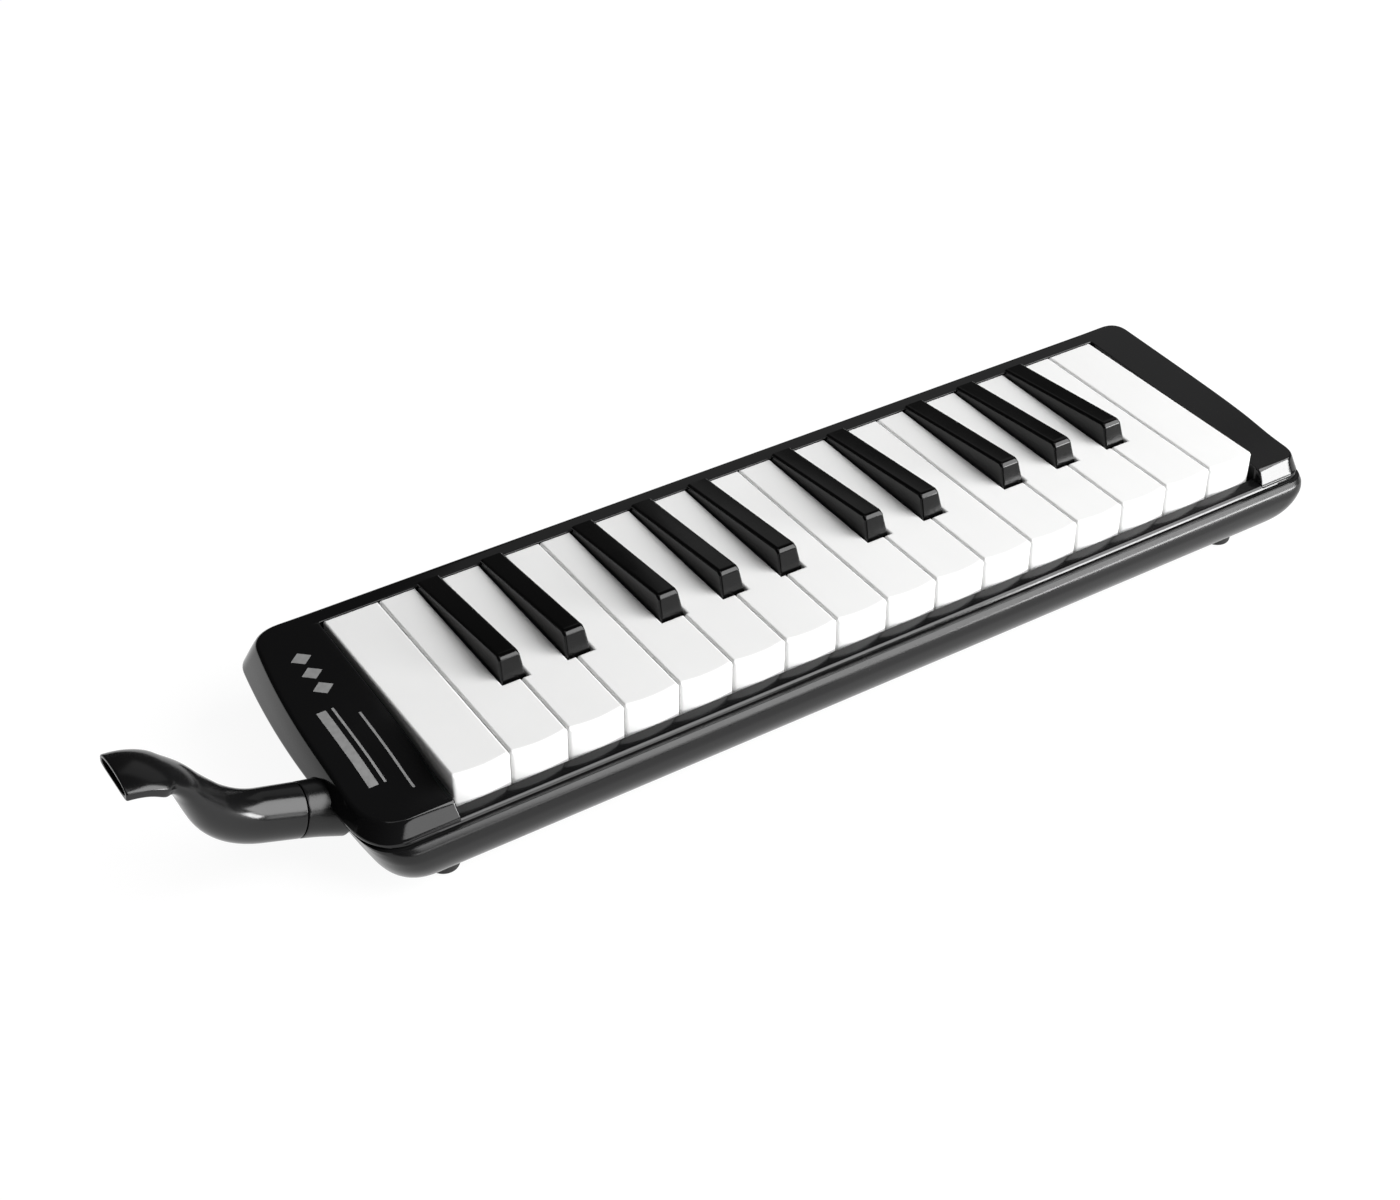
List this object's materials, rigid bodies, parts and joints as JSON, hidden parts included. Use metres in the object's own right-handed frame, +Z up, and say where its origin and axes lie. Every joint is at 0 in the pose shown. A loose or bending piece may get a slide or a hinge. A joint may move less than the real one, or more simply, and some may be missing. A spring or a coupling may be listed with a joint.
{
  "type": "melodica",
  "caption": "Mouth-blown free-reed keyboard: long glossy case with hinged piano-style keys, rubber feet and a short curved push-in mouthpiece.",
  "frame": {"origin": "centre of the bounding box's footprint, on the surface that the feet stand on", "axes": "+X along the keyboard towards the high notes, +Y from the key fronts to the rear edge, +Z up"},
  "size_m": [0.4348, 0.1116, 0.064],
  "materials": {
    "housing": "polished black",
    "mouthpiece": "polished black",
    "white_key": "satin white",
    "black_key": "polished black",
    "foot_rubber": "matt black",
    "seal_rubber": "matt black",
    "foam": "closed-cell foam",
    "reed_brass": "rolled brass",
    "steel": "bright steel",
    "felt": "pressed felt",
    "valve_button": "satin grey",
    "inner_plastic": "moulded grey"
  },
  "bodies": {
    "case": {"top_cover": "housing", "bottom_case": "housing", "foot_front_left": "foot_rubber", "foot_front_right": "foot_rubber", "foot_rear_left": "foot_rubber", "foot_rear_right": "foot_rubber", "case_screw_front_left": "steel", "case_screw_front_right": "steel", "case_screw_rear_left": "steel", "case_screw_rear_right": "steel", "wind_chamber": "inner_plastic", "inlet_seal": "seal_rubber", "chamber_gasket": "foam", "reed_block": "inner_plastic", "reed_plate_low": "reed_brass", "reed_plate_high": "reed_brass", "spring_comb": "steel", "block_screw_1": "steel", "block_screw_2": "steel", "block_screw_3": "steel", "block_screw_4": "steel", "block_screw_5": "steel", "key_axle": "steel", "front_felt": "felt", "water_valve_spring": "steel"},
    "key_b3": {"white_key_b3": "white_key"},
    "key_c4": {"white_key_c4": "white_key"},
    "key_c_sharp_4": {"black_key_c_sharp_4": "black_key"},
    "key_d4": {"white_key_d4": "white_key"},
    "key_d_sharp_4": {"black_key_d_sharp_4": "black_key"},
    "key_e4": {"white_key_e4": "white_key"},
    "key_f4": {"white_key_f4": "white_key"},
    "key_f_sharp_4": {"black_key_f_sharp_4": "black_key"},
    "key_g4": {"white_key_g4": "white_key"},
    "key_g_sharp_4": {"black_key_g_sharp_4": "black_key"},
    "key_a4": {"white_key_a4": "white_key"},
    "key_a_sharp_4": {"black_key_a_sharp_4": "black_key"},
    "key_b4": {"white_key_b4": "white_key"},
    "key_c5": {"white_key_c5": "white_key"},
    "key_c_sharp_5": {"black_key_c_sharp_5": "black_key"},
    "key_d5": {"white_key_d5": "white_key"},
    "key_d_sharp_5": {"black_key_d_sharp_5": "black_key"},
    "key_e5": {"white_key_e5": "white_key"},
    "key_f5": {"white_key_f5": "white_key"},
    "key_f_sharp_5": {"black_key_f_sharp_5": "black_key"},
    "key_g5": {"white_key_g5": "white_key"},
    "key_g_sharp_5": {"black_key_g_sharp_5": "black_key"},
    "key_a5": {"white_key_a5": "white_key"},
    "key_a_sharp_5": {"black_key_a_sharp_5": "black_key"},
    "key_b5": {"white_key_b5": "white_key"},
    "key_c6": {"white_key_c6": "white_key"},
    "water_valve": {"water_valve_button": "valve_button", "water_valve_pad": "seal_rubber"},
    "mouthpiece_ring": {"mouthpiece_seal": "seal_rubber"},
    "mouthpiece": {"mouthpiece": "mouthpiece"}
  },
  "joints": [
    {"name": "key_b3_press", "type": "hinge", "parent": "case", "child": "key_b3", "pos_m": [0.03447, 0.02675, 0.027], "axis": [1, 0, 0], "range_deg": [0, 4.3], "stiffness_Nm_per_rad": 0.25, "springref_deg": -9.17},
    {"name": "key_c4_press", "type": "hinge", "parent": "case", "child": "key_c4", "pos_m": [0.03447, 0.02675, 0.027], "axis": [1, 0, 0], "range_deg": [0, 4.3], "stiffness_Nm_per_rad": 0.25, "springref_deg": -9.17},
    {"name": "key_c_sharp_4_press", "type": "hinge", "parent": "case", "child": "key_c_sharp_4", "pos_m": [0.03447, 0.02675, 0.027], "axis": [1, 0, 0], "range_deg": [0, 4.3], "stiffness_Nm_per_rad": 0.25, "springref_deg": -9.17},
    {"name": "key_d4_press", "type": "hinge", "parent": "case", "child": "key_d4", "pos_m": [0.03447, 0.02675, 0.027], "axis": [1, 0, 0], "range_deg": [0, 4.3], "stiffness_Nm_per_rad": 0.25, "springref_deg": -9.17},
    {"name": "key_d_sharp_4_press", "type": "hinge", "parent": "case", "child": "key_d_sharp_4", "pos_m": [0.03447, 0.02675, 0.027], "axis": [1, 0, 0], "range_deg": [0, 4.3], "stiffness_Nm_per_rad": 0.25, "springref_deg": -9.17},
    {"name": "key_e4_press", "type": "hinge", "parent": "case", "child": "key_e4", "pos_m": [0.03447, 0.02675, 0.027], "axis": [1, 0, 0], "range_deg": [0, 4.3], "stiffness_Nm_per_rad": 0.25, "springref_deg": -9.17},
    {"name": "key_f4_press", "type": "hinge", "parent": "case", "child": "key_f4", "pos_m": [0.03447, 0.02675, 0.027], "axis": [1, 0, 0], "range_deg": [0, 4.3], "stiffness_Nm_per_rad": 0.25, "springref_deg": -9.17},
    {"name": "key_f_sharp_4_press", "type": "hinge", "parent": "case", "child": "key_f_sharp_4", "pos_m": [0.03447, 0.02675, 0.027], "axis": [1, 0, 0], "range_deg": [0, 4.3], "stiffness_Nm_per_rad": 0.25, "springref_deg": -9.17},
    {"name": "key_g4_press", "type": "hinge", "parent": "case", "child": "key_g4", "pos_m": [0.03447, 0.02675, 0.027], "axis": [1, 0, 0], "range_deg": [0, 4.3], "stiffness_Nm_per_rad": 0.25, "springref_deg": -9.17},
    {"name": "key_g_sharp_4_press", "type": "hinge", "parent": "case", "child": "key_g_sharp_4", "pos_m": [0.03447, 0.02675, 0.027], "axis": [1, 0, 0], "range_deg": [0, 4.3], "stiffness_Nm_per_rad": 0.25, "springref_deg": -9.17},
    {"name": "key_a4_press", "type": "hinge", "parent": "case", "child": "key_a4", "pos_m": [0.03447, 0.02675, 0.027], "axis": [1, 0, 0], "range_deg": [0, 4.3], "stiffness_Nm_per_rad": 0.25, "springref_deg": -9.17},
    {"name": "key_a_sharp_4_press", "type": "hinge", "parent": "case", "child": "key_a_sharp_4", "pos_m": [0.03447, 0.02675, 0.027], "axis": [1, 0, 0], "range_deg": [0, 4.3], "stiffness_Nm_per_rad": 0.25, "springref_deg": -9.17},
    {"name": "key_b4_press", "type": "hinge", "parent": "case", "child": "key_b4", "pos_m": [0.03447, 0.02675, 0.027], "axis": [1, 0, 0], "range_deg": [0, 4.3], "stiffness_Nm_per_rad": 0.25, "springref_deg": -9.17},
    {"name": "key_c5_press", "type": "hinge", "parent": "case", "child": "key_c5", "pos_m": [0.03447, 0.02675, 0.027], "axis": [1, 0, 0], "range_deg": [0, 4.3], "stiffness_Nm_per_rad": 0.25, "springref_deg": -9.17},
    {"name": "key_c_sharp_5_press", "type": "hinge", "parent": "case", "child": "key_c_sharp_5", "pos_m": [0.03447, 0.02675, 0.027], "axis": [1, 0, 0], "range_deg": [0, 4.3], "stiffness_Nm_per_rad": 0.25, "springref_deg": -9.17},
    {"name": "key_d5_press", "type": "hinge", "parent": "case", "child": "key_d5", "pos_m": [0.03447, 0.02675, 0.027], "axis": [1, 0, 0], "range_deg": [0, 4.3], "stiffness_Nm_per_rad": 0.25, "springref_deg": -9.17},
    {"name": "key_d_sharp_5_press", "type": "hinge", "parent": "case", "child": "key_d_sharp_5", "pos_m": [0.03447, 0.02675, 0.027], "axis": [1, 0, 0], "range_deg": [0, 4.3], "stiffness_Nm_per_rad": 0.25, "springref_deg": -9.17},
    {"name": "key_e5_press", "type": "hinge", "parent": "case", "child": "key_e5", "pos_m": [0.03447, 0.02675, 0.027], "axis": [1, 0, 0], "range_deg": [0, 4.3], "stiffness_Nm_per_rad": 0.25, "springref_deg": -9.17},
    {"name": "key_f5_press", "type": "hinge", "parent": "case", "child": "key_f5", "pos_m": [0.03447, 0.02675, 0.027], "axis": [1, 0, 0], "range_deg": [0, 4.3], "stiffness_Nm_per_rad": 0.25, "springref_deg": -9.17},
    {"name": "key_f_sharp_5_press", "type": "hinge", "parent": "case", "child": "key_f_sharp_5", "pos_m": [0.03447, 0.02675, 0.027], "axis": [1, 0, 0], "range_deg": [0, 4.3], "stiffness_Nm_per_rad": 0.25, "springref_deg": -9.17},
    {"name": "key_g5_press", "type": "hinge", "parent": "case", "child": "key_g5", "pos_m": [0.03447, 0.02675, 0.027], "axis": [1, 0, 0], "range_deg": [0, 4.3], "stiffness_Nm_per_rad": 0.25, "springref_deg": -9.17},
    {"name": "key_g_sharp_5_press", "type": "hinge", "parent": "case", "child": "key_g_sharp_5", "pos_m": [0.03447, 0.02675, 0.027], "axis": [1, 0, 0], "range_deg": [0, 4.3], "stiffness_Nm_per_rad": 0.25, "springref_deg": -9.17},
    {"name": "key_a5_press", "type": "hinge", "parent": "case", "child": "key_a5", "pos_m": [0.03447, 0.02675, 0.027], "axis": [1, 0, 0], "range_deg": [0, 4.3], "stiffness_Nm_per_rad": 0.25, "springref_deg": -9.17},
    {"name": "key_a_sharp_5_press", "type": "hinge", "parent": "case", "child": "key_a_sharp_5", "pos_m": [0.03447, 0.02675, 0.027], "axis": [1, 0, 0], "range_deg": [0, 4.3], "stiffness_Nm_per_rad": 0.25, "springref_deg": -9.17},
    {"name": "key_b5_press", "type": "hinge", "parent": "case", "child": "key_b5", "pos_m": [0.03447, 0.02675, 0.027], "axis": [1, 0, 0], "range_deg": [0, 4.3], "stiffness_Nm_per_rad": 0.25, "springref_deg": -9.17},
    {"name": "key_c6_press", "type": "hinge", "parent": "case", "child": "key_c6", "pos_m": [0.03447, 0.02675, 0.027], "axis": [1, 0, 0], "range_deg": [0, 4.3], "stiffness_Nm_per_rad": 0.25, "springref_deg": -9.17},
    {"name": "water_valve_press", "type": "slide", "parent": "case", "child": "water_valve", "axis": [0, 0, 1], "range_m": [0, 0.0015], "stiffness_N_per_m": 300, "springref_m": -0.003, "deforming": ["water_valve_spring"]},
    {"name": "mouthpiece_pull", "type": "slide", "parent": "case", "child": "mouthpiece_ring", "axis": [-0.9537, 0, 0.3007], "range_m": [0, 0.018]},
    {"name": "mouthpiece_twist", "type": "hinge", "parent": "mouthpiece_ring", "child": "mouthpiece", "pos_m": [-0.16523, -0.01925, 0.0221], "axis": [-0.9537, 0, 0.3007], "continuous": true}
  ]
}
